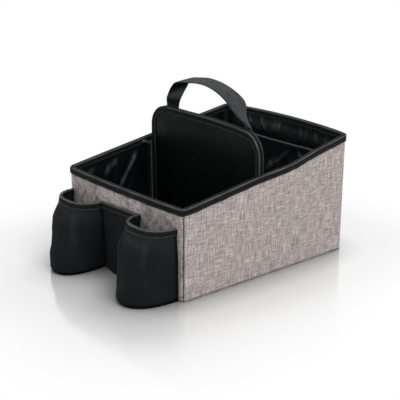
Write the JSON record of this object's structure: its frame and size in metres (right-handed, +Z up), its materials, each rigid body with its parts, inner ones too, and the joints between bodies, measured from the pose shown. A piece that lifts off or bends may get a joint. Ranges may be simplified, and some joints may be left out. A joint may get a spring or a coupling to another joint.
{
  "type": "storage caddy",
  "caption": "Open fabric storage box with a rim that rises to the back, a raised padded divider that carries a webbing handle, cup pockets on the front and a flat pocket inside the back.",
  "frame": {"origin": "on the ground under the middle of the caddy's bounding box", "axes": "+Z up, +Y to the high back wall, the cup pockets face -Y, +X to the right seen from the front"},
  "size_m": [0.265, 0.3718, 0.2461],
  "materials": {
    "outer_fabric": "matte heathered linen-look weave",
    "board": "raw grey board",
    "lining": "shiny smooth woven nylon",
    "binding_tape": "matte ribbed tape",
    "divider_fabric": "soft sheen over thin padding",
    "webbing": "matte ribbed webbing",
    "pocket_fabric": "matte stretch fabric"
  },
  "bodies": {
    "caddy": {"outer_front": "outer_fabric", "outer_right": "outer_fabric", "outer_back": "outer_fabric", "outer_left": "outer_fabric", "outer_floor": "outer_fabric", "board_front": "board", "board_right": "board", "board_back": "board", "board_left": "board", "board_floor": "board", "lining_front": "lining", "lining_right": "lining", "lining_back": "lining", "lining_left": "lining", "lining_floor": "lining", "rim_binding": "binding_tape", "corner_binding_front_right": "binding_tape", "corner_binding_back_right": "binding_tape", "corner_binding_back_left": "binding_tape", "corner_binding_front_left": "binding_tape", "divider_board": "board", "divider_pad_front": "divider_fabric", "divider_pad_back": "divider_fabric", "divider_binding": "binding_tape", "divider_flange_left": "binding_tape", "divider_flange_right": "binding_tape", "handle_tail_left": "webbing", "handle_tail_right": "webbing", "cup_pocket_left": "pocket_fabric", "cup_pocket_floor_left": "pocket_fabric", "cup_pocket_binding_left": "binding_tape", "cup_pocket_right": "pocket_fabric", "cup_pocket_floor_right": "pocket_fabric", "cup_pocket_binding_right": "binding_tape", "pocket_centre_panel": "pocket_fabric", "pocket_centre_binding": "binding_tape", "rear_pocket_panel": "lining", "rear_pocket_binding": "binding_tape"},
    "handle": {"handle_strap": "webbing"}
  },
  "joints": [
    {"name": "handle_tilt", "type": "hinge", "parent": "caddy", "child": "handle", "pos_m": [-0.00644, 0.03512, 0.1945], "axis": [0.9987, -0.0514, 0], "range_deg": [-100, 40]}
  ]
}
